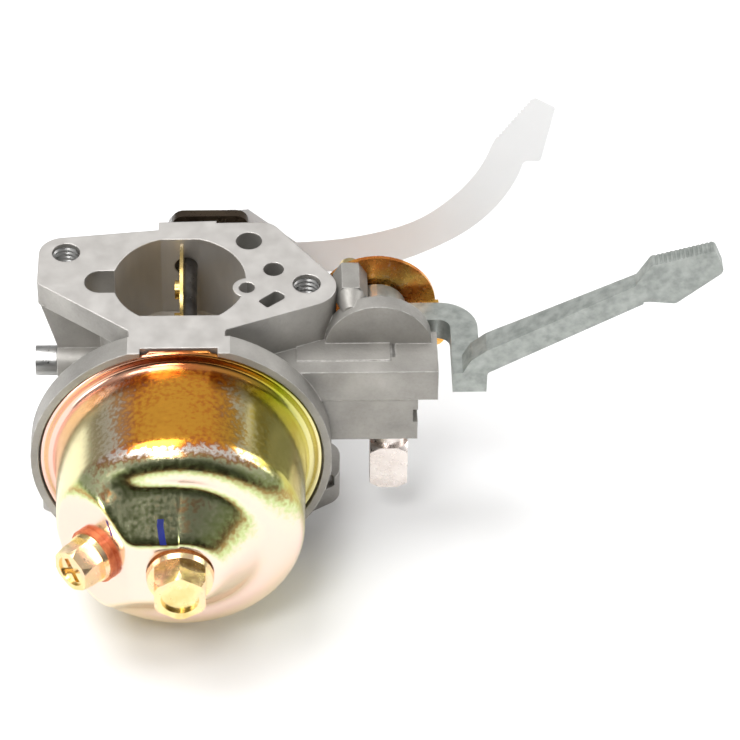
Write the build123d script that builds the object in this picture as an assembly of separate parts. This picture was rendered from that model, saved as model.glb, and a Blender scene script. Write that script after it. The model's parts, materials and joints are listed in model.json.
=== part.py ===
from build123d import *
import math
import os

# Carburetor of a small petrol engine. Millimetres.
# Origin: centre of the throttle bore on the engine-side face. +Z runs along the bore towards the
# air inlet, -Y points at the bottom of the float bowl, +X at the fuel valve.

BODY_H = 69.0            # engine face to inlet face
BORE_Z = 34.75           # height of the bowl axis, which is parallel to Y
THROTTLE_R = 13.5
INLET_R = 16.0
VENTURI_R = 11.5
INLET_FLAT_LOW = -12.9   # the inlet bore is cut off by two flats
INLET_FLAT_HIGH = 15.3
INLET_DEPTH = 23.0       # straight part of the inlet bore
THROAT = (31.0, 38.0)    # venturi throat between these heights
THROTTLE_END = 22.0      # top of the straight throttle bore
BARREL_R = 19.5
STUDS = ((-27.5, 10.7), (30.6, -1.7))
THREAD_R = 3.4           # tapping-size wall of the M8 threads in the inlet ears
THREAD_LOW = 51.0        # lower end of the threads
STUD_HOLE_R = 4.2        # clearance for M8, from the engine face up to the threads
RUNNING = 0.05           # radial running clearance of a shaft in its hole

RING_R = 36.3            # bowl seat ring of the casting
RING_FRONT = -26.6
RING_BACK = -20.4
SEAT_Y = -24.9           # floor of the recess that takes the bowl flange
ROOF_Y = -21.4           # roof of the float chamber

SHEET = 1.0              # bowl sheet thickness
BOWL_FLANGE_R = 34.1
BOWL_R = 30.0
BOWL_TAPER = 0.5
BOWL_FLOOR = -57.0
BOWL_CORNER = 7.5
STAGE_Y = -66.0          # raised middle of the bowl floor
STAGE_R = 9.8
STAGE_BASE_R = 19.0
DRAIN_PLANE = -78.0      # the drain facet is the plane x + y = DRAIN_PLANE

CHOKE_X, CHOKE_Z = 1.4, 60.4
CHOKE_SHAFT_R = 2.75
CHOKE_PLATE_R = 14.9
CHOKE_PLATE_T = 0.8
CHOKE_TURN = 73.0        # degrees from open to closed
PILLAR = (16.2, -2.9, 3.4)   # air-passage pillar in the wall of the inlet bore: x, y, radius
CHOKE_ARM_Y = (28.6, 31.0)
CHOKE_LEVER_Y = (31.0, 34.2)
CHOKE_HUB_R = 4.6

THROTTLE_Z = 13.0
THROTTLE_SHAFT_R = 3.0
THROTTLE_LEVER_Y = (32.0, 33.6)
STOP_SCREW_Y, STOP_SCREW_Z = 27.0, 22.0

VALVE_X, VALVE_Z = 47.7, 55.7
VALVE_R = 12.9
VALVE_FRONT, VALVE_FACE = -10.2, -6.0
VALVE_PLATE_Y = (6.1, 7.1)
VALVE_POSTS = ((41.2, 65.3), (54.2, 46.1))
HUB_R = 7.2
SLAB_TOP, SLAB_BOTTOM, SLAB_FRONT, SLAB_END = 57.0, 48.0, -20.5, 61.9
BLOCK_BOTTOM, BLOCK_FRONT, BLOCK_END = 34.5, -19.6, 57.2
UNION_X, UNION_Y, UNION_W = 50.6, -10.4, 9.2

MIXTURE_Y, MIXTURE_Z = -2.0, 45.5

FLOAT_PIN_Y, FLOAT_PIN_Z = -28.6, BORE_Z + 22.0
NEEDLE_Z = BORE_Z + 14.5
POST_R = 7.5
POST_END = -50.0


def rod(start, end, radius, end_radius=None):
    """Round bar, or cone, between two points."""
    start, end = Vector(*start), Vector(*end)
    plane = Plane(origin=start, z_dir=(end - start).normalized())
    length = (end - start).length
    if end_radius is None:
        return Solid.make_cylinder(radius, length, plane)
    return Solid.make_cone(radius, end_radius, length, plane)


def tube(start, end, outer, inner):
    return rod(start, end, outer) - rod(start, end, inner)


def block(low, high):
    """Box between two corners."""
    size = [b - a for a, b in zip(low, high)]
    return Solid.make_box(*size, Plane(origin=low))


def rounded_face(corners):
    """Face on XY through corners (x, y, radius); a radius of 0 leaves a corner sharp."""
    edges, ends = [], []
    count = len(corners)
    for index, (x, y, radius) in enumerate(corners):
        here = Vector(x, y)
        if radius == 0:
            ends.append((here, here))
            continue
        before = (Vector(*corners[index - 1][:2]) - here).normalized()
        after = (Vector(*corners[(index + 1) % count][:2]) - here).normalized()
        half = math.radians(before.get_angle(after)) / 2
        reach = radius / math.tan(half)
        middle = here + (before + after).normalized() * (radius / math.sin(half) - radius)
        ends.append((here + before * reach, here + after * reach))
        edges.append(Edge.make_three_point_arc(ends[-1][0], middle, ends[-1][1]))
    for index, (_, end) in enumerate(ends):
        start = ends[(index + 1) % count][0]
        if (start - end).length > 0.001:
            edges.append(Edge.make_line(end, start))
    return Face(Wire(edges))


def slab_z(corners, low, high):
    """Prism along Z of an (x, y, radius) outline."""
    return Pos(0, 0, low) * extrude(rounded_face(corners), high - low, dir=(0, 0, 1))


def slab_y(corners, low, high):
    """Prism along Y of an (x, z, radius) outline."""
    flipped = [(x, -z, radius) for x, z, radius in corners]
    return Pos(0, low, 0) * (Rot(-90, 0, 0) * extrude(rounded_face(flipped), high - low, dir=(0, 0, 1)))


def hex_bar(start, end, flats, turn=0.0):
    """Hexagonal bar between two points."""
    start, end = Vector(*start), Vector(*end)
    plane = Plane(origin=start, z_dir=(end - start).normalized())
    section = plane * Rot(0, 0, turn) * RegularPolygon(flats / 2, 6, major_radius=False)
    return extrude(section, (end - start).length)


def turned(profile, start, direction):
    """Solid of revolution of (radius, height) points, from start along direction."""
    section = Plane.XZ * Polyline(*profile, close=True)
    solid = revolve(make_face(section), Axis.Z)
    return Plane(origin=start, z_dir=direction).location * solid


def coil(start, end, radius, wire, turns):
    """Compression spring with closed length between two points, as one swept wire."""
    start, end = Vector(*start), Vector(*end)
    length = (end - start).length - 2 * wire
    plane = Plane(origin=start + (end - start).normalized() * wire, z_dir=(end - start).normalized())
    path = Helix(length / turns, length, radius)
    section = Plane(origin=path @ 0, z_dir=path % 0) * Circle(wire)
    return plane.location * sweep(section, path)


def casting():
    """Die-cast body: two flanges, barrel, bowl seat ring, fuel valve block and bosses."""
    inlet_left = [(-34.2, -0.6, 2), (-34.0, 15.7, 6), (-5.2, 18.9, 0), (-5.2, 21.8, 0), (8.9, 22.2, 0),
                  (8.9, 21.4, 0), (10.7, 21.4, 0), (10.7, -26.6, 0), (-11.8, -26.6, 0), (-11.9, -18.3, 1)]
    inlet_right = [(8.0, 21.4, 0), (22.2, 21.6, 5), (41.7, -5.8, 7.3), (11.0, -18.2, 0.8), (10.7, -26.6, 0),
                   (8.0, -26.6, 0)]
    engine = [(-35.4, -6.9, 1.5), (-35.4, 18.8, 8), (16, 20.5, 4), (39.2, 6.5, 6), (38.8, -4.4, 5),
              (11, -22.4, 0), (10.5, -26.6, 0), (-10.5, -26.6, 0), (-11, -20.4, 1)]
    body = rod((0, 0, 0), (0, 0, BODY_H), BARREL_R)
    body += slab_z(inlet_left, BODY_H - 6.5, BODY_H)
    body += slab_z(inlet_right, SLAB_TOP - 1, BODY_H)
    body += slab_z(engine, 0, 8)
    keep = block((-RING_R, RING_FRONT, 0), (RING_R, 0, BODY_H))
    disc = rod((0, RING_FRONT, BORE_Z), (0, RING_BACK, BORE_Z), RING_R)
    disc += rod((0, RING_BACK, BORE_Z), (0, -14, BORE_Z), 33.0, 24.0)
    body += disc & keep
    # Gussets and the column round the right-hand stud
    body += slab_y([(-33.4, 63.0, 0), (-28.6, 45.0, 0), (-15, 45.0, 0), (-15, 63.0, 0)], -2.0, 6.4)
    right_x, right_y = STUDS[1]
    body += rod((right_x, right_y, 7), (right_x, right_y, SLAB_TOP), 6.2)
    body += block((12, -12, 30), (32, 6, SLAB_TOP))
    body += block((14, -9, 6), (30, 3, 32))
    # Fuel valve block
    body += block((20, SLAB_FRONT, SLAB_BOTTOM), (SLAB_END, VALVE_FACE, SLAB_TOP))
    body += block((28, -16.4, SLAB_TOP), (50.5, -9, SLAB_TOP + 0.3))
    body += block((24, BLOCK_FRONT, BLOCK_BOTTOM), (BLOCK_END, VALVE_FACE, SLAB_BOTTOM))
    body += rod((VALVE_X, VALVE_FRONT, VALVE_Z), (VALVE_X, VALVE_FACE, VALVE_Z), VALVE_R)
    body -= block((BLOCK_END - 1.2, -25, 40.0), (BLOCK_END + 1, -14, 44.0))
    for x, z in VALVE_POSTS:
        body += hex_bar((x, -3.2, z), (x, VALVE_PLATE_Y[0], z), 7.2, 30)
        body += turned([(0, 0), (3.6, 0), (2.0, 5.2), (0, 5.2)], (x, -3.2, z), (0, -1, 0))
    # Bosses on the top side: choke shaft, throttle shaft, stop screw, pilot jet, mixture screw
    body += block((-5.2, 12, 51), (8.9, 21.8, BODY_H - 0.5))
    body += rod((CHOKE_X, 14, CHOKE_Z), (CHOKE_X, 24.0, CHOKE_Z), CHOKE_HUB_R)
    body += rod((0, 12, THROTTLE_Z), (0, 29.0, THROTTLE_Z), 7.0)
    body += slab_y([(11.5, 16, 0), (19.5, 16, 0), (19.5, 27.4, 4), (11.5, 27.4, 4)], 10, 31.0)
    body += rod((-14.5, 4, 26), (-14.5, 22.5, 26), 5.5)
    body += rod((-10, MIXTURE_Y, MIXTURE_Z), (-30.1, MIXTURE_Y, MIXTURE_Z), 3.95)
    body += rod((9, 8, 44), (9, 21.0, 44), 5.0)
    body += block((-4.6, 16, 18), (4.6, 21, 52))
    # Float chamber roof, nozzle post, float hinge ears and needle seat boss
    body -= rod((0, RING_FRONT - 1, BORE_Z), (0, SEAT_Y, BORE_Z), BOWL_FLANGE_R + 0.3)
    body -= rod((0, RING_FRONT - 1, BORE_Z), (0, ROOF_Y, BORE_Z), 29.5)
    body -= tube((0, SEAT_Y - 1, BORE_Z), (0, SEAT_Y + 1.55, BORE_Z), 33.2, 31.2)
    body += rod((0, -15, BORE_Z), (0, POST_END, BORE_Z), POST_R)
    for left, right in ((-11.6, -8.8), (8.8, 11.6)):
        body += block((left, FLOAT_PIN_Y - 2.4, FLOAT_PIN_Z - 2.6), (right, ROOF_Y + 1, FLOAT_PIN_Z + 2.6))
    body += rod((0, ROOF_Y + 1, NEEDLE_Z), (0, -24.6, NEEDLE_Z), 5.0)
    return body - casting_holes()


def bore_profile():
    """Air passage from the engine face to the inlet face, as (radius, height)."""
    return [(0, -1), (THROTTLE_R, -1), (THROTTLE_R, THROTTLE_END), (VENTURI_R, THROAT[0]),
            (VENTURI_R, THROAT[1]), (INLET_R, BODY_H - INLET_DEPTH), (INLET_R, BODY_H + 1), (0, BODY_H + 1)]


def casting_holes():
    bore = turned(bore_profile(), (0, 0, 0), (0, 0, 1))
    low = BODY_H - INLET_DEPTH
    bore -= block((-20, -20, low), (20, INLET_FLAT_LOW, BODY_H + 2))
    bore -= block((-20, INLET_FLAT_HIGH, low), (20, 20, BODY_H + 2))
    pillar_x, pillar_y, pillar_r = PILLAR
    bore -= rod((pillar_x, pillar_y, BODY_H - 21), (pillar_x, pillar_y, BODY_H + 2), pillar_r)
    holes = bore
    for x, y in STUDS:
        holes += rod((x, y, THREAD_LOW), (x, y, BODY_H + 1), THREAD_R)
        holes += rod((x, y, -1), (x, y, THREAD_LOW), STUD_HOLE_R)
    # Air passages in the inlet face
    for x, y, radius, depth in ((16.8, 14.5, 3.2, 12), (22.7, 3.8, 2.5, 15), (16.2, -2.9, 1.95, 20)):
        holes += rod((x, y, BODY_H - depth), (x, y, BODY_H + 1), radius)
    holes += slab_z([(18.8, -7.9, 0.6), (23.2, -4.0, 1.2), (25.9, -6.5, 1.2), (21.1, -10.4, 0.6)],
                    BODY_H - 10, BODY_H + 1)
    holes += slab_z([(-10, -4.3, 0), (-22.8, -4.3, 3.8), (-22.8, 3.8, 3.8), (-10, 3.8, 0)],
                    BODY_H - 9, BODY_H + 1)
    # Notch in the seat ring for the tab of the bowl, and a notch in the engine flange
    holes += block((-9.2, RING_FRONT - 1, 60), (9.2, -24.6, BODY_H + 1))
    holes += Pos(36.2, -6.6, 6.6) * Rot(0, 0, 33) * Solid.make_box(4, 4, 4, Plane(origin=(-2, -2, -1.2)))
    # Shafts, each with running clearance
    for x, z, radius in ((CHOKE_X, CHOKE_Z, CHOKE_SHAFT_R), (0, THROTTLE_Z, THROTTLE_SHAFT_R)):
        holes += rod((x, -17.2, z), (x, 30, z), radius + RUNNING)
    holes += rod((0, 27, THROTTLE_Z), (0, 30, THROTTLE_Z), 5.0)
    # Threaded seats of the jets, the seat, the bolt and the screws
    holes += rod((0, POST_END - 1, BORE_Z), (0, -38.6, BORE_Z), 4.05)
    holes += rod((0, -38.6, BORE_Z), (0, -34.4, BORE_Z), 3.2)
    holes += rod((0, -34.4, BORE_Z), (0, -8, BORE_Z), 2.4)
    holes += rod((0, -26, NEEDLE_Z), (0, ROOF_Y + 1.4, NEEDLE_Z), 3.0)
    holes += rod((-13, FLOAT_PIN_Y, FLOAT_PIN_Z), (13, FLOAT_PIN_Y, FLOAT_PIN_Z), 1.0 + RUNNING)
    holes += rod((-14.5, 23, 26), (-14.5, 16, 26), 3.6) + rod((-14.5, 16.1, 26), (-14.5, 8, 26), 2.0)
    holes += rod((-31, MIXTURE_Y, MIXTURE_Z), (-19.0, MIXTURE_Y, MIXTURE_Z), 3.0)
    holes += rod((-19.1, MIXTURE_Y, MIXTURE_Z), (-15, MIXTURE_Y, MIXTURE_Z), 1.6)
    holes += rod((9, 22, 44), (9, 18.5, 44), 3.5)
    holes += rod((10, STOP_SCREW_Y, STOP_SCREW_Z), (21, STOP_SCREW_Y, STOP_SCREW_Z), 2.55)
    # Fuel valve: gasket pocket, two ports, screw holes and the union's seat
    holes += rod((VALVE_X, VALVE_FACE - 1.6, VALVE_Z), (VALVE_X, VALVE_FACE + 1, VALVE_Z), HUB_R + 0.15)
    for side in (-1, 1):
        holes += rod((VALVE_X + side * 3.6, -15, VALVE_Z), (VALVE_X + side * 3.6, -7, VALVE_Z), 1.3)
    for x, z in VALVE_POSTS:
        holes += rod((x, -2, z), (x, 8, z), 1.5)
    holes += rod((UNION_X, UNION_Y, BLOCK_BOTTOM - 1), (UNION_X, UNION_Y, 46), 3.0)
    return holes


def bowl_form(inset):
    """Outer form of the bowl, moved inwards by inset, with the raised stage and the drain facet."""
    floor, wall = BOWL_FLOOR + inset, BOWL_R - inset
    corner = BOWL_CORNER - inset
    top = SEAT_Y - 1 if inset == 0 else SEAT_Y + 1
    with BuildLine() as side:
        Polyline((0, top), (wall, top), (wall - BOWL_TAPER, floor + corner))
        CenterArc((wall - BOWL_TAPER - corner, floor + corner), corner, -90, 90)
        Polyline((wall - BOWL_TAPER - corner, floor), (STAGE_BASE_R - inset / 2, floor),
                 (STAGE_R - inset / 2, STAGE_Y + inset), (0, STAGE_Y + inset), (0, top))
    solid = revolve(Plane.XY * make_face(side.line), Axis.Y)
    ridge = [(-STAGE_BASE_R - 1 + inset / 2, floor), (STAGE_BASE_R + 1 - inset / 2, floor),
             (STAGE_R - 0.5 - inset / 2, STAGE_Y + inset), (-STAGE_R + 0.5 + inset / 2, STAGE_Y + inset)]
    wedge = Plane.YZ * Rot(0, 0, -90) * make_face(Polyline(*[(-z, y) for z, y in ridge], close=True))
    solid += extrude(wedge, 20, dir=(-1, 0, 0))
    offset = DRAIN_PLANE + inset * math.sqrt(2)
    outside = Plane(origin=(offset / 2, offset / 2, 0), z_dir=(-1, -1, 0))
    solid -= Solid.make_box(80, 80, 40, Plane(origin=outside.origin - outside.x_dir * 40
                                              - outside.y_dir * 40, z_dir=outside.z_dir,
                                              x_dir=outside.x_dir))
    return Pos(0, 0, BORE_Z) * solid


def float_bowl():
    """Pressed steel bowl with a rolled flange, locating tab and bolt holes."""
    bowl = bowl_form(0) - bowl_form(SHEET)
    front = SEAT_Y - SHEET
    flange = tube((0, front, BORE_Z), (0, SEAT_Y, BORE_Z), BOWL_FLANGE_R, BOWL_R - 0.5)
    bead = turned([(BOWL_R - 0.4, 0), (BOWL_R + 2.0, 0), (BOWL_R + 1.6, 0.7), (BOWL_R + 0.7, 1.3),
                   (BOWL_R - 0.4, 3.4)], (0, front, BORE_Z), (0, -1, 0))
    tab = block((-8, front, BORE_Z + 32), (8, SEAT_Y, BODY_H - 0.1))
    bowl = bowl + flange + bead + tab
    bowl -= rod((0, STAGE_Y - 1, BORE_Z), (0, STAGE_Y + 2, BORE_Z), 4.2)
    seat, out = drain_axis()
    bowl -= rod(seat + out * 3, seat - out * 5, 3.2)
    return bowl


def drain_axis():
    """Point on the drain facet and the outward direction of its bolt."""
    x = -19.6
    return Vector(x, DRAIN_PLANE - x, BORE_Z), Vector(-1, -1, 0).normalized()


def bolt(seat, out, shank_r, shank, flange_r, flats, head, recess_r, recess, turn=0):
    """Flanged hex bolt. seat is under its flange, out points from the seat to the head."""
    flange_t = 1.4
    solid = rod(seat, seat + out * flange_t, flange_r, flange_r - 0.3)
    solid += hex_bar(seat + out, seat + out * head, flats, turn)
    crown = rod(seat, seat + out * head, flats / math.sqrt(3) + 0.9, flats / math.sqrt(3) - 0.5)
    solid = solid & (crown + rod(seat, seat + out * flange_t, flange_r + 1))
    solid -= rod(seat + out * (head - recess), seat + out * (head + 1), recess_r)
    return solid + rod(seat - out * shank, seat, shank_r)


def bowl_fasteners():
    down = Vector(0, -1, 0)
    seat = Vector(0, STAGE_Y, BORE_Z)
    washer_t, drain_t = 0.8, 1.6
    drain_seat, out = drain_axis()
    drain = bolt(drain_seat + out * drain_t, out, 3.0, 9.0, 6.4, 10.0, 7.0, 3.9, 0.5, 30)
    for turn in (35, 125):
        cross = Plane(origin=drain_seat + out * (drain_t + 5.4), z_dir=out) * Rot(0, 0, turn)
        drain -= extrude(cross * Rectangle(6.4, 1.6), 3)
    return {
        "bowl_bolt_washer": tube(seat, seat + down * washer_t, 7.2, 4.1),
        "bowl_bolt": bolt(seat + down * washer_t, down, 4.0, 24.0, 8.0, 12.0, 7.4, 4.5, 0.9, 0),
        "drain_washer": tube(drain_seat, drain_seat + out * drain_t, 6.9, 3.1),
        "drain_bolt": drain,
        "drain_boss": tube(drain_seat - out * 1.6, drain_seat - out * 7.0, 4.4, 3.05),
        "bowl_gasket": Plane(origin=(0, SEAT_Y + 0.78, BORE_Z), z_dir=(0, 1, 0)).location
        * Solid.make_torus(32.2, 0.77),
    }


def fuel_metering():
    """Nozzle tube, main jet, float with its pin, needle valve and its seat."""
    y_top, y_low = -31.5, -45.0
    ring = tube((0, y_low, BORE_Z), (0, y_top, BORE_Z), 26.0, 11.5)
    ring -= block((-9.5, y_low - 1, BORE_Z + 2), (9.5, y_top + 1, BORE_Z + 30))
    ring += block((-25, y_low, BORE_Z - 2), (-10, y_low + 3, BORE_Z + 2)) & tube(
        (0, y_low, BORE_Z), (0, y_top, BORE_Z), 26.0, 11.5)
    for side in (-1, 1):
        low, high = sorted((side * 5.6, side * 8.2))
        ring += block((low, -34.0, BORE_Z + 8), (high, -30.4, FLOAT_PIN_Z - 1))
        ring += rod((low, FLOAT_PIN_Y, FLOAT_PIN_Z), (high, FLOAT_PIN_Y, FLOAT_PIN_Z), 2.4)
        ring += block((low, -34.0, FLOAT_PIN_Z - 4), (high, FLOAT_PIN_Y, FLOAT_PIN_Z))
        near, far = sorted((side * 5.6, side * 14.0))
        ring += block((near, -34.0, BORE_Z + 7), (far, -31.5, BORE_Z + 11))
    ring += block((-6, -32.6, NEEDLE_Z - 2.4), (6, -31.4, NEEDLE_Z + 2.4))
    ring -= rod((-9, FLOAT_PIN_Y, FLOAT_PIN_Z), (9, FLOAT_PIN_Y, FLOAT_PIN_Z), 1.0 + RUNNING)
    nozzle = tube((0, -34.4, BORE_Z), (0, -8.5, BORE_Z), 2.4, 1.3)
    for y in (-32, -29, -26, -23):
        nozzle -= rod((-3, y, BORE_Z), (3, y, BORE_Z), 0.4)
    jet = tube((0, -38.6, BORE_Z), (0, -34.4, BORE_Z), 3.2, 0.6)
    jet -= block((-3.3, -38.7, BORE_Z - 0.5), (3.3, -37.7, BORE_Z + 0.5))
    seat = tube((0, -26.0, NEEDLE_Z), (0, ROOF_Y + 1.4, NEEDLE_Z), 3.0, 2.05)
    seat += tube((0, -22.4, NEEDLE_Z), (0, ROOF_Y + 1.4, NEEDLE_Z), 3.0, 1.0)
    needle = rod((0, -30.2, NEEDLE_Z), (0, -24.6, NEEDLE_Z), 2.0)
    needle += rod((0, -24.6, NEEDLE_Z), (0, -22.5, NEEDLE_Z), 2.0, 0.5)
    needle += rod((0, -31.2, NEEDLE_Z), (0, -30.2, NEEDLE_Z), 0.6)
    clip = tube((0, -30.1, NEEDLE_Z), (0, -29.6, NEEDLE_Z), 2.6, 2.0)
    pin = rod((-12, FLOAT_PIN_Y, FLOAT_PIN_Z), (12, FLOAT_PIN_Y, FLOAT_PIN_Z), 1.0)
    return {"float": ring, "float_pin": pin, "main_nozzle": nozzle, "main_jet": jet,
            "needle_seat": seat, "float_needle": needle, "needle_clip": clip}


def choke_parts():
    x, z = CHOKE_X, CHOKE_Z
    shaft = rod((x, -17.0, z), (x, CHOKE_ARM_Y[1] + 2.6, z), CHOKE_SHAFT_R)
    flat_x = x - 0.4
    shaft -= block((x - 4, -15.6, z - 4), (flat_x, 15.6, z + 4))
    plate = rod((flat_x - CHOKE_PLATE_T, 0.6, z), (flat_x, 0.6, z), CHOKE_PLATE_R)
    plate &= block((-5, INLET_FLAT_LOW + 0.25, z - 20), (8, INLET_FLAT_HIGH - 0.25, z + 20))
    pillar_x, pillar_y, pillar_r = PILLAR
    reach = (pillar_x - pillar_r - x - 0.6) / math.sin(math.radians(CHOKE_TURN))
    plate -= block((-5, pillar_y - pillar_r - 0.5, z - 20), (8, pillar_y + pillar_r + 0.5, z - reach))
    screws = []
    for y in (-5.5, 6.5):
        shaft -= rod((flat_x - 1, y, z), (x + 2.0, y, z), 1.25)
        plate -= rod((flat_x - 3, y, z), (flat_x + 1, y, z), 1.3)
        screw = rod((flat_x - CHOKE_PLATE_T - 1.5, y, z), (flat_x - CHOKE_PLATE_T, y, z), 2.3)
        screw += rod((flat_x - CHOKE_PLATE_T, y, z), (x + 1.8, y, z), 1.25)
        slot_x = flat_x - CHOKE_PLATE_T - 0.8
        screws.append(screw - block((-4, y - 2.6, z - 0.3), (slot_x, y + 2.6, z + 0.3)))
    arm = slab_y([(-2.2, 52.5, 3), (16.6, 52.5, 3), (16.6, 65.2, 3), (-2.2, 65.2, 3)], *CHOKE_ARM_Y)
    arm -= rod((x, 20, z), (x, 40, z), CHOKE_SHAFT_R)
    lever = choke_lever()
    lever -= rod((x, 20, z), (x, 40, z), CHOKE_SHAFT_R)
    y = CHOKE_LEVER_Y[1]
    ring = tube((x, y, z), (x, y + 0.9, z), CHOKE_HUB_R - 1, CHOKE_SHAFT_R - 0.4)
    shaft -= tube((x, y - 0.02, z), (x, y + 0.92, z), CHOKE_SHAFT_R + 1, CHOKE_SHAFT_R - 0.42)
    shaft += rod((x, CHOKE_ARM_Y[1] + 2, z), (x, y + 1.8, z), CHOKE_SHAFT_R - 0.42)
    return {"choke_shaft": shaft, "choke_plate": plate, "choke_plate_screws": Compound(children=screws),
            "choke_arm": arm, "choke_lever": lever, "choke_lever_clip": ring}


def choke_lever():
    """Flat plastic lever: hub, curved arm and a pointed thumb pad with a toothed edge."""
    with BuildLine() as edge:
        lower = Spline((14.0, 50.6), (30, 45.6), (46, 45.6), (62.2, 52.0), (70.0, 57.1), (77.7, 65.2),
                       (84.3, 79.8))
        Polyline(lower @ 1, (88.4, 79.6), (91.4, 96.4), (85.8, 99.8), (77.2, 87.3), (76.0, 84.2))
        upper = Spline((76.0, 84.2), (72.7, 76.4), (65.8, 67.4), (58.1, 61.3), (49.4, 57.8), (38.3, 55.4),
                       (28.5, 54.6))
        Polyline(upper @ 1, (16.6, 65.4), (13.5, 65.0), (11.0, 61.5),
                 (CHOKE_X + 1, CHOKE_Z + CHOKE_HUB_R - 0.3), (CHOKE_X, CHOKE_Z - CHOKE_HUB_R + 0.2),
                 lower @ 0)
    outline = make_face(edge.line)
    tip = [corner for corner in outline.vertices() if corner.X > 84]
    face = Rot(90, 0, 0) * fillet(tip, 1.2)
    low, high = CHOKE_LEVER_Y
    lever = Pos(0, low, 0) * extrude(face, high - low, dir=(0, 1, 0))
    lever += rod((CHOKE_X, low, CHOKE_Z), (CHOKE_X, high, CHOKE_Z), CHOKE_HUB_R)
    start, end, teeth = Vector(77.2, 0, 87.3), Vector(85.8, 0, 99.8), 12
    for index in range(teeth):
        spot = start + (end - start) * ((index + 0.5) / teeth)
        lever -= rod((spot.X, low - 1, spot.Z), (spot.X, high + 1, spot.Z), 0.32)
    return lever


def throttle_parts():
    z = THROTTLE_Z
    y0, y1 = THROTTLE_LEVER_Y
    shaft = rod((0, -17.0, z), (0, y1 + 1.6, z), THROTTLE_SHAFT_R)
    shaft -= block((-4, -13.9, z), (4, 13.9, z + 4))
    plate = rod((0, 0, z), (0, 0, z + 0.9), THROTTLE_R - 0.12)
    screws = []
    for y in (-5.0, 5.0):
        shaft -= rod((0, y, z - 4), (0, y, z + 1), 1.25)
        plate -= rod((0, y, z - 1), (0, y, z + 2), 1.3)
        screw = rod((0, y, z + 0.9), (0, y, z + 2.3), 2.3) + rod((0, y, z - 2.6), (0, y, z + 0.9), 1.25)
        screws.append(screw - block((-0.3, y - 3, z + 1.7), (0.3, y + 3, z + 2.6)))
    lever = slab_y([(-8, 6, 4), (5, 5.5, 3), (26, 3.0, 4), (29, 11.5, 4), (8.5, 17.5, 2), (8.0, 25.0, 1),
                    (3.2, 25.0, 1), (1.6, 20.5, 2), (-8, 20.5, 4)], y0, y1)
    lever += block((4.4, 25.2, 19.2), (6.0, y0 + 0.4, 24.0))
    for x, zz in ((13.5, 11.6), (19.0, 9.4), (24.3, 7.4)):
        lever -= rod((x, y0 - 1, zz), (x, y1 + 1, zz), 1.3)
    lever -= rod((0, 20, z), (0, 40, z), THROTTLE_SHAFT_R)
    seal = tube((0, 27.1, z), (0, 28.9, z), 4.9, THROTTLE_SHAFT_R + RUNNING)
    spacer = tube((0, 29.1, z), (0, y0, z), 4.4, THROTTLE_SHAFT_R)
    return {"throttle_shaft": shaft, "throttle_plate": plate,
            "throttle_plate_screws": Compound(children=screws), "throttle_lever": lever,
            "throttle_seal": seal, "throttle_spacer": spacer}


def adjusters():
    """Idle stop screw, mixture screw, pilot jet, plugs."""
    y, z = STOP_SCREW_Y, STOP_SCREW_Z
    stop = rod((6.1, y, z), (27.5, y, z), 2.5) + rod((27.5, y, z), (33.0, y, z), 4.6)
    for turn in range(0, 360, 30):
        angle = math.radians(turn)
        dy, dz = 4.8 * math.cos(angle), 4.8 * math.sin(angle)
        stop -= rod((27, y + dy, z + dz), (34, y + dy, z + dz), 0.55)
    stop -= block((31.8, y - 5, z - 0.6), (33.1, y + 5, z + 0.6))
    y2, z2 = MIXTURE_Y, MIXTURE_Z
    mixture = rod((-34.0, y2, z2), (-31.0, y2, z2), 2.4) + rod((-31.0, y2, z2), (-20.6, y2, z2), 1.5)
    mixture += rod((-20.6, y2, z2), (-16.0, y2, z2), 1.5, 0.4)
    cap = rod((-35.3, y2, z2), (-30.2, y2, z2), 3.7)
    cap -= rod((-34.0, y2, z2), (-30.1, y2, z2), 2.4)
    cap -= block((-36, y2 - 4, z2 - 4), (-34.8, y2 - 1.2, z2 - 2.2))
    jet = rod((-14.5, 16.0, 26), (-14.5, 19.6, 26), 3.55) + rod((-14.5, 16.0, 26), (-14.5, 8.4, 26), 1.9)
    jet -= rod((-14.5, 7.0, 26), (-14.5, 20.0, 26), 0.5)
    jet -= block((-19, 18.6, 25.6), (-10, 20, 26.4))
    return {
        "idle_stop_screw": stop,
        "idle_stop_spring": coil((19.5, y, z), (27.5, y, z), 3.3, 0.4, 5),
        "mixture_screw": mixture,
        "mixture_limiter_cap": cap,
        "mixture_spring": coil((-30.1, y2, z2), (-21.0, y2, z2), 2.2, 0.3, 7),
        "pilot_jet": jet,
        "welch_plug": rod((9, 18.5, 44), (9, 19.6, 44), 3.49),
    }


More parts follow.
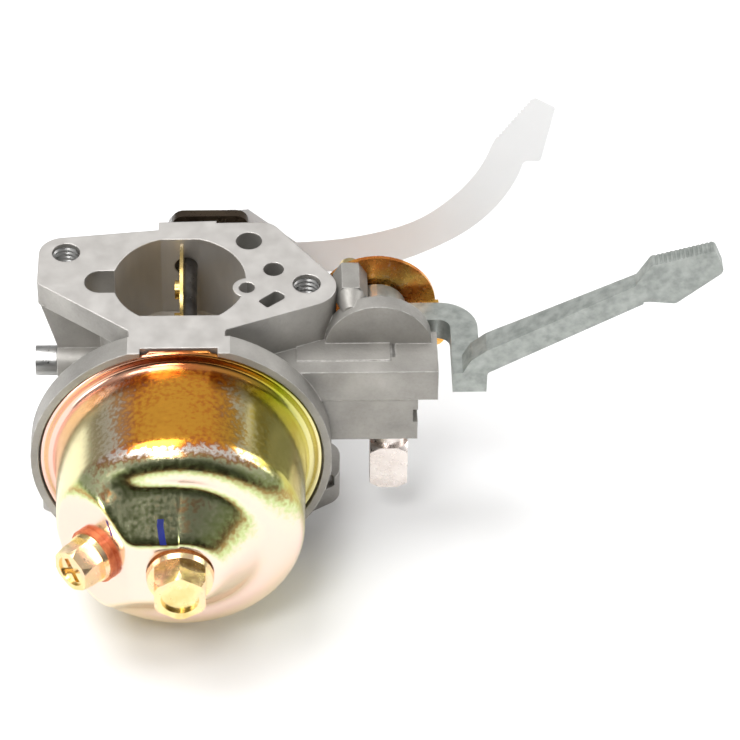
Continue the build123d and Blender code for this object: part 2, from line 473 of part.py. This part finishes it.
def fuel_lever():
    """Die-cast lever: hub, arm that turns towards the bowl side, sloping bar and pointed thumb pad."""
    low, high = 52.7, 58.7
    front, back = -23.0, -16.6
    lever = rod((VALVE_X, VALVE_FACE - 0.05, VALVE_Z), (VALVE_X, 5.0, VALVE_Z), HUB_R)
    lever += slab_z([(50, -3.5, 0), (65.2, -3.5, 3), (65.2, front, 0), (71.8, front, 0), (71.8, 2.8, 9.2),
                     (50, 2.8, 0)], low, high)
    bar = slab_y([(66.7, 52.7, 0), (73.3, 52.7, 0), (73.4, 58.6, 1.2), (109.5, 79.9, 0), (109.5, 86.8, 0),
                  (79.1, 69.1, 0), (73.0, 65.7, 0), (69.4, 62.6, 2), (66.7, 57.0, 3)], front, back)
    bar -= slab_z([(74, back + 0.1, 0), (108, front + 4.2, 0), (112, front + 4.2, 0), (112, back + 1, 0),
                   (74, back + 1, 0)], 50, 100)
    pad = slab_y([(107.0, 80.2, 0), (111.0, 80.6, 1.5), (117.1, 80.0, 1.5), (128.0, 89.7, 2.0),
                  (125.4, 96.2, 1.2), (110.8, 91.8, 1.0), (107.0, 85.0, 0)], front, front + 3.6)
    start, end, teeth = Vector(111.4, 0, 92.0), Vector(124.6, 0, 96.0), 13
    for index in range(teeth):
        spot = start + (end - start) * ((index + 0.5) / teeth)
        pad -= rod((spot.X, front - 1, spot.Z + 0.1), (spot.X, front + 5, spot.Z + 0.1), 0.34)
    return lever + bar + pad


def fuel_valve_parts():
    x0, z0 = VALVE_X, VALVE_Z
    low, high = VALVE_PLATE_Y
    gasket = rod((x0, VALVE_FACE - 1.6, z0), (x0, VALVE_FACE - 0.1, z0), HUB_R)
    for side in (-1, 1):
        gasket -= rod((x0 + side * 3.6, -9, z0), (x0 + side * 3.6, -5, z0), 1.5)
    wave = tube((x0, 5.06, z0), (x0, 5.5, z0), 6.4, 4.2)
    for turn in range(0, 360, 60):
        x, z = x0 + 5.3 * math.cos(math.radians(turn)), z0 + 5.3 * math.sin(math.radians(turn))
        wave += rod((x, 5.4, z), (x, low, z), 1.0)
    plate = rod((x0, low, z0), (x0, high, z0), 14.4)
    plate += slab_y([(54, 41.6, 0), (65.0, 42.2, 2.5), (62.9, 56, 0), (48, 56, 0)], low, high)
    plate -= rod((x0, low - 1, z0), (x0, high + 1, z0), 3.0)
    screws = []
    for x, z in VALVE_POSTS:
        plate -= rod((x, low - 1, z), (x, high + 1, z), 1.6)
        screw = rod((x, high, z), (x, high + 2.1, z), 2.9, 2.5) + rod((x, -1.5, z), (x, high, z), 1.45)
        for wide, tall in ((3.4, 0.8), (0.8, 3.4)):
            screw -= block((x - wide / 2, high + 1.0, z - tall / 2), (x + wide / 2, high + 3, z + tall / 2))
        screws.append(screw)
    return {"fuel_valve_lever": fuel_lever(), "fuel_valve_gasket": gasket, "fuel_valve_wave_washer": wave,
            "fuel_valve_plate": plate, "fuel_valve_screws": Compound(children=screws),
            "fuel_inlet_union": inlet_union()}


def inlet_union():
    """Square-bodied union under the valve block, with a threaded port facing the engine side."""
    x, y, half = UNION_X, UNION_Y, UNION_W / 2
    low, high = 14.0, 27.0
    body = block((x - half, y - half, low), (x + half, y + half, high))
    crown = half * math.sqrt(2)
    body &= (rod((x, y, low), (x, y, low + 1.6), crown - 1.5, crown + 0.1)
             + rod((x, y, low + 1.6), (x, y, high - 1.6), crown + 0.1)
             + rod((x, y, high - 1.6), (x, y, high), crown + 0.1, crown - 1.5))
    body += rod((x, y, high), (x, y, BLOCK_BOTTOM), 3.9)
    body += rod((x, y, BLOCK_BOTTOM), (x, y, 44), 2.95)
    body -= rod((x, y, low - 1), (x, y, low + 9), 2.5)
    return body - rod((x, y, low + 8), (x, y, 45), 1.2)


def all_nodes():
    nodes = {"carb_body": casting(), "float_bowl": float_bowl()}
    for group in (bowl_fasteners, fuel_metering, choke_parts, throttle_parts, adjusters, fuel_valve_parts):
        nodes.update(group())
    return nodes


os.makedirs("parts", exist_ok=True)
for name, shape in all_nodes().items():
    export_step(shape, f"parts/{name}.step")
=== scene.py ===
import json
import math

import bmesh
import bpy
from mathutils import Matrix, Vector


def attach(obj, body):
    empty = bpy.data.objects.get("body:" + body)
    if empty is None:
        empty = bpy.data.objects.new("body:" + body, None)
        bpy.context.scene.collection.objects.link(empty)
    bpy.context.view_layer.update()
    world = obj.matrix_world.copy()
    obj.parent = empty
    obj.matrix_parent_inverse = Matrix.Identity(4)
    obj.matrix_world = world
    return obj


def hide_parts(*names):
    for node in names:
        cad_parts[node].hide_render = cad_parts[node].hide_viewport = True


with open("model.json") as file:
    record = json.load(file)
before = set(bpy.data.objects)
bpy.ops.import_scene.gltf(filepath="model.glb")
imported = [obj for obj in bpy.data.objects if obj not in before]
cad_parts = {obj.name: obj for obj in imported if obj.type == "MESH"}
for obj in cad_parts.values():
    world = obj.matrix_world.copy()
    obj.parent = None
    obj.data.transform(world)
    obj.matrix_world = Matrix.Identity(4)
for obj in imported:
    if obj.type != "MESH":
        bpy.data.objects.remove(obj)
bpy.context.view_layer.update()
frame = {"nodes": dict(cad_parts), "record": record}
MM = 0.001

# Sizes of the design that the pieces below are built to, in millimetres
BOWL_AXIS_Z = 34.75
FLANGE_R = 34.1
WALL_R = 30.0
WALL_END_R = 29.5
FLOOR = 57.0             # depth of the bowl floor below the bore axis
CORNER = 7.5
STAGE = 66.0             # depth of the raised middle
STAGE_R = 9.8
STAGE_SLOPE = 0.92
RIDGE_HALF = 9.3
RIDGE_SLOPE = 0.84
DRAIN_PLANE = 78.0       # the drain facet is the plane depth = DRAIN_PLANE + x
THREAD_R, THREAD_PITCH = 3.38, 1.25
EARS = ((-27.5, 10.7, 62.5), (30.6, -1.7, 51.0))    # x, y and lower end of each threaded hole
INLET_Z = 69.0
SHEET = 0.9              # thickness of the pressed bowl
STAMP_RADIUS = 1.3       # how softly the stage blends into the floor
FACET_RADIUS = 1.5       # how softly the drain facet blends into the rest
BEAD_START, BEAD_END = 28.2, 27.2    # depths between which the wall's film gives way to the flange's
PASSAGE_R = 16.3         # just outside the air passage
THREAD_DEPTH = 0.52
THREAD_END_GAP = 0.7     # from the last turn up to the inlet face
RING_STEP = 0.6          # between rings of points on the bowl floor
PEN_LIFT, PEN_RISE = 0.06, 0.04    # how far pen ink stands out from the bowl, and up

# Points around the bowl and around a thread, and rows of points in one turn of thread
AROUND_BOWL, AROUND_THREAD, ROWS_PER_TURN = 300, 48, 6


# ---------------------------------------------------------------- materials

def new_material(name):
    material = bpy.data.materials.new(name)
    material.use_nodes = True
    return material, material.node_tree, material.node_tree.nodes["Principled BSDF"]


def place_of(tree):
    """Position on the object in its own frame, in metres."""
    return tree.nodes.new("ShaderNodeTexCoord").outputs["Object"]


def noise(tree, scale, detail=3.0, stretch=None):
    node = tree.nodes.new("ShaderNodeTexNoise")
    node.inputs["Scale"].default_value = scale
    node.inputs["Detail"].default_value = detail
    source = place_of(tree)
    if stretch:
        mapping = tree.nodes.new("ShaderNodeMapping")
        mapping.inputs["Scale"].default_value = stretch
        tree.links.new(source, mapping.inputs["Vector"])
        source = mapping.outputs["Vector"]
    tree.links.new(source, node.inputs["Vector"])
    return node.outputs["Fac"]


def ramp(tree, factor, stops):
    node = tree.nodes.new("ShaderNodeValToRGB")
    bar = node.color_ramp.elements
    while len(bar) < len(stops):
        bar.new(0.5)
    for element, (position, colour) in zip(bar, stops):
        element.position = position
        element.color = (*colour, 1.0)
    tree.links.new(factor, node.inputs["Fac"])
    return node.outputs["Color"]


def span(tree, value, low, high, out_low, out_high):
    node = tree.nodes.new("ShaderNodeMapRange")
    tree.links.new(value, node.inputs["Value"])
    for name, number in (("From Min", low), ("From Max", high), ("To Min", out_low), ("To Max", out_high)):
        node.inputs[name].default_value = number
    return node.outputs["Result"]


def combine(tree, operation, first, second):
    node = tree.nodes.new("ShaderNodeMath")
    node.operation = operation
    for socket, value in zip(node.inputs, (first, second)):
        if isinstance(value, (int, float)):
            socket.default_value = value
        else:
            tree.links.new(value, socket)
    return node.outputs["Value"]


def blend_colours(tree, factor, first, second):
    node = tree.nodes.new("ShaderNodeMix")
    node.data_type = "RGBA"
    tree.links.new(factor, node.inputs[0])
    for socket, value in ((node.inputs[6], first), (node.inputs[7], second)):
        if isinstance(value, tuple):
            socket.default_value = (*value, 1.0)
        else:
            tree.links.new(value, socket)
    return node.outputs[2]


def bumps(tree, shader, heights, normal=None):
    """Chain of bump nodes from (height, strength, depth in metres)."""
    for height, strength, depth in heights:
        node = tree.nodes.new("ShaderNodeBump")
        node.inputs["Strength"].default_value = strength
        node.inputs["Distance"].default_value = depth
        tree.links.new(height, node.inputs["Height"])
        if normal:
            tree.links.new(normal, node.inputs["Normal"])
        normal = node.outputs["Normal"]
    tree.links.new(normal, shader.inputs["Normal"])


def axes_of(tree, vector):
    node = tree.nodes.new("ShaderNodeSeparateXYZ")
    tree.links.new(vector, node.inputs["Vector"])
    return node.outputs


def edge_rounding_and_mask(tree, radius):
    """(normal that rounds the sharp edges, mask that is 1 on them)."""
    soft = tree.nodes.new("ShaderNodeBevel")
    soft.samples = 6
    soft.inputs["Radius"].default_value = radius
    compare = tree.nodes.new("ShaderNodeVectorMath")
    compare.operation = "DOT_PRODUCT"
    tree.links.new(soft.outputs["Normal"], compare.inputs[0])
    tree.links.new(tree.nodes.new("ShaderNodeNewGeometry").outputs["Normal"], compare.inputs[1])
    return soft.outputs["Normal"], span(tree, compare.outputs["Value"], 0.97, 0.86, 0.0, 1.0)


def surface(name, dark, light, metallic, rough, grain=900.0, grain_depth=0.00003, mottle=120.0):
    """Metal, plastic or rubber with mottled colour, uneven gloss and a fine grain."""
    material, tree, shader = new_material(name)
    broad = noise(tree, mottle, 4.0)
    fine = noise(tree, grain, 5.0)
    colour = ramp(tree, broad, [(0.32, dark), (0.68, light)])
    tree.links.new(colour, shader.inputs["Base Color"])
    shader.inputs["Metallic"].default_value = metallic
    tree.links.new(span(tree, fine, 0.3, 0.7, rough[0], rough[1]), shader.inputs["Roughness"])
    bumps(tree, shader, [(fine, 0.35, grain_depth)])
    return material


def cast_metal():
    """Sand-grey die casting. The two flange faces are machined, and so is the air passage."""
    material, tree, shader = new_material("cast_aluminium")
    fine = noise(tree, 1500.0, 6.0)
    broad = noise(tree, 70.0, 5.0)
    flow = noise(tree, 260.0, 4.0, (1.0, 1.0, 0.25))
    x, y, z = axes_of(tree, place_of(tree))
    normal = axes_of(tree, tree.nodes.new("ShaderNodeTexCoord").outputs["Normal"])
    rough_skin = ramp(tree, broad, [(0.28, (0.270, 0.260, 0.240)), (0.50, (0.370, 0.355, 0.330)),
                                    (0.74, (0.480, 0.462, 0.432))])
    rounded, edges = edge_rounding_and_mask(tree, 0.45 * MM)
    # Painted highlight and wear on the sharp edges: patches along them are lightened towards pale grey.
    edge_highlight_and_wear = combine(tree, "MULTIPLY", edges, span(tree, noise(tree, 420.0, 3.0), 0.38, 0.62, 0.1, 0.85))
    rough_skin = blend_colours(tree, edge_highlight_and_wear, rough_skin, (0.74, 0.72, 0.69))
    cut = ramp(tree, flow, [(0.30, (0.585, 0.560, 0.530)), (0.70, (0.655, 0.630, 0.600))])
    top = combine(tree, "GREATER_THAN", z, (INLET_Z - 0.05) * MM)
    foot = combine(tree, "LESS_THAN", z, 0.05 * MM)
    flat = combine(tree, "MAXIMUM", top, foot)
    radius = combine(tree, "SQRT", combine(tree, "ADD", combine(tree, "MULTIPLY", x, x),
                                           combine(tree, "MULTIPLY", y, y)), 0.0)
    passage = combine(tree, "MULTIPLY", combine(tree, "LESS_THAN", radius, PASSAGE_R * MM),
                      combine(tree, "LESS_THAN", combine(tree, "ABSOLUTE", normal[2], 0.0), 0.9))
    machined = combine(tree, "MAXIMUM", flat, passage)
    tree.links.new(blend_colours(tree, machined, rough_skin, cut), shader.inputs["Base Color"])
    shader.inputs["Metallic"].default_value = 0.62
    skin_gloss = span(tree, fine, 0.3, 0.7, 0.42, 0.62)
    cut_gloss = span(tree, flow, 0.3, 0.7, 0.30, 0.44)
    gloss = tree.nodes.new("ShaderNodeMix")
    for socket, value in ((0, machined), (2, skin_gloss), (3, cut_gloss)):
        tree.links.new(value, gloss.inputs[socket])
    tree.links.new(gloss.outputs[0], shader.inputs["Roughness"])
    as_cast = combine(tree, "SUBTRACT", 1.0, machined)
    skin = combine(tree, "MULTIPLY", fine, as_cast)
    swell = combine(tree, "MULTIPLY", broad, as_cast)
    bumps(tree, shader, [(swell, 0.20, 0.0003), (skin, 0.55, 0.00010), (flow, 0.10, 0.00003)], rounded)
    return material


def chromate(name, stops, spread, rough, spots=0.25):
    """Zinc with a yellow chromate film, whose colour drifts over the surface."""
    material, tree, shader = new_material(name)
    drift = span(tree, noise(tree, spread, 2.5), 0.25, 0.75, -0.30, 0.30)
    cloud = span(tree, noise(tree, spread * 5, 3.0), 0.3, 0.7, -0.07, 0.07)
    film = combine(tree, "ADD", combine(tree, "ADD", drift, cloud), 0.5)
    colour = ramp(tree, film, stops)
    # Small pale spots scattered over the film.
    pale_spots = span(tree, noise(tree, spread * 9, 5.0), 0.60, 0.72, 0.0, spots)
    tree.links.new(blend_colours(tree, pale_spots, colour, (0.90, 0.86, 0.74)), shader.inputs["Base Color"])
    shader.inputs["Metallic"].default_value = 1.0
    fine = noise(tree, 700.0, 4.0)
    tree.links.new(span(tree, fine, 0.3, 0.7, *rough), shader.inputs["Roughness"])
    bumps(tree, shader, [(noise(tree, 55.0, 2.0), 0.10, 0.0006), (fine, 0.15, 0.00003)])
    return material


# Chromate hues by the slope of the sheet, with painted light in them. The near-white stop at 0.915 is a
# painted highlight band, and the pale green at 0.83 is film green lightened by a painted highlight. The dark
# brown stops at 0.70 and 0.875 are painted shade lines along the corner and the creases.
SLOPE_FILM_AND_PAINTED_LIGHT = [(0.00, (0.80, 0.62, 0.26)), (0.30, (0.90, 0.72, 0.50)), (0.48, (0.88, 0.66, 0.56)),
              (0.57, (0.88, 0.72, 0.58)), (0.64, (0.60, 0.68, 0.32)), (0.70, (0.42, 0.27, 0.09)),
              (0.76, (0.58, 0.66, 0.26)), (0.83, (0.78, 0.80, 0.48)), (0.875, (0.46, 0.22, 0.07)),
              (0.915, (0.94, 0.86, 0.78)), (0.95, (0.60, 0.19, 0.05)), (0.975, (0.84, 0.31, 0.04)),
              (1.00, (0.90, 0.42, 0.05))]
FLANGE_FILM = [(0.00, (0.86, 0.62, 0.54)), (0.30, (0.80, 0.42, 0.28)), (0.50, (0.58, 0.17, 0.06)),
               (0.70, (0.66, 0.32, 0.06)), (0.84, (0.42, 0.44, 0.04)), (1.00, (0.82, 0.74, 0.40))]


def bowl_metal():
    """Yellow chromate on the pressed bowl: its film changes colour with the slope of the sheet, and the same
    slope ramp paints a highlight band and dark shade lines where the sheet turns.
    """
    material, tree, shader = new_material("chromate_bowl")
    x, y, _ = axes_of(tree, place_of(tree))
    across, along, upward = axes_of(tree, tree.nodes.new("ShaderNodeTexCoord").outputs["Normal"])
    drift = span(tree, noise(tree, 60.0, 3.0), 0.3, 0.7, -0.022, 0.022)
    speckle = span(tree, noise(tree, 900.0, 3.0), 0.35, 0.65, -0.022, 0.022)
    tilt = combine(tree, "ADD", span(tree, upward, -1.0, 1.0, 0.0, 1.0),
                   combine(tree, "ADD", drift, speckle))
    # This slope ramp gives the film hues together with a painted highlight band and painted shade lines.
    sheet = ramp(tree, tilt, SLOPE_FILM_AND_PAINTED_LIGHT)
    left = combine(tree, "SUBTRACT", combine(tree, "MULTIPLY", across, -1.0),
                   combine(tree, "MULTIPLY", combine(tree, "ABSOLUTE", along, 0.0), 1.2))
    sheet = blend_colours(tree, span(tree, left, 0.30, 0.72, 0.0, 0.9), sheet, (0.86, 0.76, 0.42))
    right = combine(tree, "MULTIPLY", span(tree, across, 0.25, 0.60, 0.0, 0.8),
                    span(tree, along, -0.5, -0.2, 0.0, 1.0))
    sheet = blend_colours(tree, right, sheet, (0.50, 0.43, 0.06))
    lip = combine(tree, "ADD", span(tree, x, -FLANGE_R * MM, FLANGE_R * MM, 0.0, 1.0), drift)
    on_flange = span(tree, y, -BEAD_START * MM, -BEAD_END * MM, 0.0, 1.0)
    sheet = blend_colours(tree, on_flange, sheet, ramp(tree, lip, FLANGE_FILM))
    tree.links.new(sheet, shader.inputs["Base Color"])
    shader.inputs["Metallic"].default_value = 1.0
    fine = noise(tree, 900.0, 4.0)
    tree.links.new(span(tree, fine, 0.3, 0.7, 0.14, 0.25), shader.inputs["Roughness"])
    bumps(tree, shader, [(noise(tree, 48.0, 2.0), 0.08, 0.0005), (fine, 0.22, 0.00003)])
    return material


BOLT_FILM = [(0.10, (0.62, 0.44, 0.12)), (0.45, (0.90, 0.72, 0.36)), (0.75, (0.93, 0.60, 0.42)),
             (1.00, (0.60, 0.62, 0.26))]
PLATE_FILM = [(0.10, (0.55, 0.12, 0.03)), (0.45, (0.80, 0.26, 0.05)), (0.70, (0.84, 0.50, 0.12)),
              (1.00, (0.50, 0.46, 0.10))]

MATERIALS = {
    "cast": cast_metal(),
    "zinc_bowl": bowl_metal(),
    "zinc_bolt": chromate("chromate_bolt", BOLT_FILM, 90.0, (0.16, 0.30)),
    "zinc_plate": chromate("chromate_plate", PLATE_FILM, 60.0, (0.20, 0.34)),
    "pale_zinc": surface("pale_zinc", (0.80, 0.72, 0.68), (0.90, 0.83, 0.79), 0.9, (0.24, 0.34),
                         mottle=220.0),
    "lever_zinc": surface("lever_zinc", (0.29, 0.312, 0.292), (0.43, 0.452, 0.428), 0.75, (0.38, 0.55),
                          grain=1300.0, grain_depth=0.00010, mottle=420.0),
    "white_plastic": surface("white_plastic", (0.88, 0.885, 0.885), (0.93, 0.93, 0.93), 0.0, (0.34, 0.44),
                             grain_depth=0.00001, mottle=40.0),
    "black_plastic": surface("black_plastic", (0.018, 0.018, 0.02), (0.035, 0.035, 0.037), 0.0, (0.38, 0.52)),
    "float_plastic": surface("float_plastic", (0.02, 0.02, 0.02), (0.05, 0.05, 0.05), 0.0, (0.5, 0.62)),
    "brass": surface("brass", (0.50, 0.34, 0.10), (0.78, 0.60, 0.27), 1.0, (0.22, 0.36)),
    "steel": surface("steel", (0.40, 0.40, 0.39), (0.58, 0.57, 0.56), 1.0, (0.26, 0.42)),
    "dark_steel": surface("dark_steel", (0.06, 0.055, 0.05), (0.20, 0.19, 0.18), 1.0, (0.26, 0.42)),
    "brown_steel": surface("brown_steel", (0.022, 0.014, 0.008), (0.060, 0.040, 0.022), 0.6, (0.24, 0.36)),
    "rubber": surface("rubber", (0.015, 0.015, 0.015), (0.03, 0.03, 0.03), 0.0, (0.6, 0.75)),
    "red_fibre": surface("red_fibre", (0.45, 0.09, 0.03), (0.72, 0.22, 0.08), 0.25, (0.35, 0.55),
                         mottle=500.0),
    "fibre": surface("fibre", (0.30, 0.14, 0.05), (0.55, 0.30, 0.12), 0.2, (0.45, 0.6), mottle=500.0),
}


def paint(thing, slot_name):
    thing.data.materials.clear()
    thing.data.materials.append(MATERIALS[slot_name])


for entry in frame["record"]["subparts"]:
    paint(frame["nodes"][entry["node"]], entry["material_slot"])


# ---------------------------------------------------------------- pieces

def mesh_piece(name, points, faces, slot_name, body="body", smooth=True):
    """New piece from points in millimetres, riding on a CAD body."""
    mesh = bpy.data.meshes.new(name)
    mesh.from_pydata([Vector(point) * MM for point in points], [], faces)
    piece = bpy.data.objects.new(name, mesh)
    bpy.context.collection.objects.link(piece)
    shape = bmesh.new()
    shape.from_mesh(mesh)
    bmesh.ops.recalc_face_normals(shape, faces=shape.faces)
    shape.to_mesh(mesh)
    shape.free()
    for face in mesh.polygons:
        face.use_smooth = smooth
    paint(piece, slot_name)
    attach(piece, body)
    return piece


def soft_max(first, second, reach):
    overlap = max(reach - abs(first - second), 0.0) / reach
    return max(first, second) + overlap * overlap * reach / 4


def soft_min(first, second, reach):
    return -soft_max(-first, -second, reach)


def ease(low, high, value):
    t = min(max((value - low) / (high - low), 0.0), 1.0)
    return t * t * (3 - 2 * t)


def bowl_surface(radius, depth, angle):
    """Point on the outside of the bowl: the turned form with its stamped stage and drain facet."""
    x, z = radius * math.cos(angle), radius * math.sin(angle)
    across = math.hypot(x, z) if x > 0 else abs(z)
    half = STAGE_R if x > 0 else RIDGE_HALF
    slope = STAGE_SLOPE if x > 0 else RIDGE_SLOPE
    stage = soft_min(STAGE, STAGE + (half - across) * slope, STAMP_RADIUS)
    raised = soft_max(depth, min(stage, STAGE), STAMP_RADIUS) - depth
    depth += raised * ease(WALL_R - 1.0, WALL_R - 6.5, radius)
    outside = (depth - DRAIN_PLANE - x) / math.sqrt(2)
    push = outside - soft_min(outside, 0.0, FACET_RADIUS)
    return (x + push / math.sqrt(2), -(depth - push / math.sqrt(2)), BOWL_AXIS_Z + z)


def bowl_rings():
    """(radius, depth) from the flange edge, over its rolled bead, down the wall and in to the centre."""
    rings = [(33.6, 24.95), (34.0, 25.05), (FLANGE_R, 25.4), (FLANGE_R, 25.9), (33.9, 26.3), (33.5, 26.5),
             (33.0, 26.45), (32.5, 26.15), (32.0, 25.95), (31.5, 25.95), (31.0, 26.2), (30.55, 26.8),
             (30.25, 27.7), (30.1, 28.8), (WALL_R, 30.0)]
    wall_end = FLOOR - CORNER
    steps = 10
    for step in range(1, steps + 1):
        t = step / steps
        rings.append((WALL_R + (WALL_END_R - WALL_R) * t, 30.0 + (wall_end - 30.0) * t))
    for step in range(1, 15):
        angle = math.radians(90) * step / 14
        rings.append((WALL_END_R - CORNER * (1 - math.cos(angle)), wall_end + CORNER * math.sin(angle)))
    flat = WALL_END_R - CORNER
    rings += [(flat - step * RING_STEP, FLOOR) for step in range(1, int(flat / RING_STEP))]
    return rings


def formed_bowl():
    rings, around = bowl_rings(), AROUND_BOWL
    points = [bowl_surface(radius, depth, 2 * math.pi * index / around)
              for radius, depth in rings for index in range(around)]
    faces = [(ring * around + index, ring * around + (index + 1) % around,
              (ring + 1) * around + (index + 1) % around, (ring + 1) * around + index)
             for ring in range(len(rings) - 1) for index in range(around)]
    last = (len(rings) - 1) * around
    points.append(bowl_surface(0.0, FLOOR, 0.0))
    faces += [(last + index, last + (index + 1) % around, len(points) - 1) for index in range(around)]
    piece = mesh_piece("formed_bowl", points, faces, "zinc_bowl")
    wall = piece.modifiers.new("sheet", "SOLIDIFY")
    wall.thickness = SHEET * MM
    wall.offset = -1.0
    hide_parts("float_bowl")


def bowl_tab():
    """Locating tab at the top of the flange, with rounded corners."""
    outline = [(-7.9, 65.9), (-7.9, 67.9), (-7.0, 68.7), (7.0, 68.7), (7.9, 67.9), (7.9, 65.9),
               (4.0, 66.9), (0.0, 67.2), (-4.0, 66.9)]
    count = len(outline)
    points = [(x, y, z) for y in (-25.85, -24.95) for x, z in outline]
    faces = [tuple(range(count)), tuple(range(count, 2 * count))]
    faces += [(i, (i + 1) % count, count + (i + 1) % count, count + i) for i in range(count)]
    piece = mesh_piece("bowl_tab", points, faces, "zinc_bowl", smooth=False)
    edge = piece.modifiers.new("edge", "BEVEL")
    edge.width, edge.segments = 0.25 * MM, 3


def pen_mark(name, ink, line, width):
    """Inspection pen stroke that lies on the bowl. line holds (x, height over the bowl axis) points."""
    points = []
    for x, height in line:
        for side in (-width / 2, width / 2):
            spot = bowl_surface(math.hypot(x + side, height), FLOOR, math.atan2(height, x + side))
            points.append((spot[0], spot[1] - PEN_LIFT, spot[2] + PEN_RISE))
    faces = [(2 * i, 2 * i + 1, 2 * i + 3, 2 * i + 2) for i in range(len(line) - 1)]
    piece = mesh_piece(name, points, faces, "zinc_bowl")
    piece.data.materials.clear()
    piece.data.materials.append(ink)


def thread(name, x, y, low):
    """Helical thread in an ear, its crests inside the tapping-size wall."""
    around, per_turn = AROUND_THREAD, ROWS_PER_TURN
    rows = int((INLET_Z - THREAD_END_GAP - low) / THREAD_PITCH * per_turn)
    points, faces = [], []
    for row in range(rows + 1):
        for index in range(around):
            turn = index / around
            height = low + row * THREAD_PITCH / per_turn
            phase = (height / THREAD_PITCH - turn) % 1.0
            radius = THREAD_R - THREAD_DEPTH * (1 - abs(2 * phase - 1))
            angle = 2 * math.pi * turn
            points.append((x + radius * math.cos(angle), y + radius * math.sin(angle), height))
    for row in range(rows):
        for index in range(around):
            following = (index + 1) % around
            faces.append((row * around + index, row * around + following,
                          (row + 1) * around + following, (row + 1) * around + index))
    mesh_piece(name, points, faces, "steel", smooth=False)


formed_bowl()
bowl_tab()
pen_mark("pen_mark_blue", surface("ink_blue", (0.004, 0.008, 0.10), (0.01, 0.02, 0.20), 0.0, (0.3, 0.5)),
         [(-4.3, 14.2), (-4.4, 13.0), (-4.2, 11.8), (-4.0, 10.6), (-3.7, 9.4)], 1.5)
pen_mark("pen_mark_violet", surface("ink_violet", (0.05, 0.008, 0.16), (0.12, 0.02, 0.30), 0.0, (0.3, 0.5)),
         [(-18.6, 13.2), (-18.8, 12.2), (-19.0, 11.2), (-19.2, 10.2), (-19.4, 9.2)], 1.0)
for side, (ear_x, ear_y, ear_low) in zip(("left", "right"), EARS):
    thread(f"thread_{side}", ear_x, ear_y, ear_low)


# ---------------------------------------------------------------- studio

# Area lights: name, place and width in metres, power in watts
LIGHTS = [("key", (-0.30, 0.05, 0.90), 0.60, 6.4), ("right", (0.75, 0.25, 0.45), 0.45, 2.6),
          ("front", (-0.18, -0.60, 0.90), 0.30, 4.0), ("low", (-0.75, -0.55, 0.20), 0.35, 2.0)]
LIGHTS_AIM = Vector((0.02, 0.0, 0.04))
FLOOR_HALF = 4.0


def studio():
    """Pale floor, four soft lights and a world that is white to the camera and dimmer to other rays."""
    mesh = bpy.data.meshes.new("floor")
    corners = [(side * FLOOR_HALF, end * FLOOR_HALF, 0) for side, end in ((-1, -1), (1, -1), (1, 1), (-1, 1))]
    mesh.from_pydata(corners, [], [(0, 1, 2, 3)])
    floor = bpy.data.objects.new("floor", mesh)
    bpy.context.collection.objects.link(floor)
    material, tree, shader = new_material("paper")
    tree.links.new(ramp(tree, noise(tree, 3.0, 2.0), [(0.3, (0.90, 0.90, 0.90)), (0.7, (0.94, 0.94, 0.94))]),
                   shader.inputs["Base Color"])
    shader.inputs["Roughness"].default_value = 0.9
    mesh.materials.append(material)
    world = bpy.data.worlds.new("studio")
    bpy.context.scene.world = world
    world.use_nodes = True
    tree = world.node_tree
    direction = tree.nodes.new("ShaderNodeTexCoord").outputs["Generated"]
    _, along, upward = axes_of(tree, direction)
    toward_front = span(tree, along, -0.80, -0.40, 0.10, 1.0)
    overhead = span(tree, upward, 0.10, 0.90, 0.30, 0.62)
    reflected = combine(tree, "MULTIPLY", toward_front, overhead)
    seen = tree.nodes.new("ShaderNodeLightPath").outputs["Is Camera Ray"]
    background = tree.nodes["Background"]
    background.inputs["Color"].default_value = (1.0, 1.0, 1.0, 1.0)
    tree.links.new(combine(tree, "MAXIMUM", reflected, seen), background.inputs["Strength"])
    for name, place, width, power in LIGHTS:
        lamp = bpy.data.lights.new(name, "AREA")
        lamp.size, lamp.energy = width, power
        light = bpy.data.objects.new(name, lamp)
        light.location = place
        aim = LIGHTS_AIM - Vector(place)
        light.rotation_euler = aim.to_track_quat("-Z", "Y").to_euler()
        bpy.context.collection.objects.link(light)
    bpy.context.scene.view_settings.view_transform = "Standard"


CAMERA_DEGREES = (41.788, -2.124, 0.841)    # elevation, azimuth, roll
CAMERA_TARGET = Vector((0.046191, 0.0, 0.039442))
CAMERA_DISTANCE = 1.0
LENS, SENSOR = 198.07, 36.0                 # millimetres


def camera():
    """Looks down on the inlet face from the bowl side."""
    elevation, azimuth, roll = (math.radians(value) for value in CAMERA_DEGREES)
    back = Vector((math.sin(azimuth) * math.cos(elevation), -math.cos(azimuth) * math.cos(elevation),
                   math.sin(elevation)))
    right = Vector((math.cos(azimuth), math.sin(azimuth), 0.0))
    up = back.cross(right)
    across = right * math.cos(roll) + up * math.sin(roll)
    above = up * math.cos(roll) - right * math.sin(roll)
    lens = bpy.data.cameras.new("camera")
    lens.sensor_width = SENSOR
    lens.lens = LENS
    eye = bpy.data.objects.new("camera", lens)
    turn = Matrix((across, above, back)).transposed().to_4x4()
    eye.matrix_world = Matrix.Translation(CAMERA_TARGET + back * CAMERA_DISTANCE) @ turn
    bpy.context.collection.objects.link(eye)
    bpy.context.scene.camera = eye


studio()
camera()
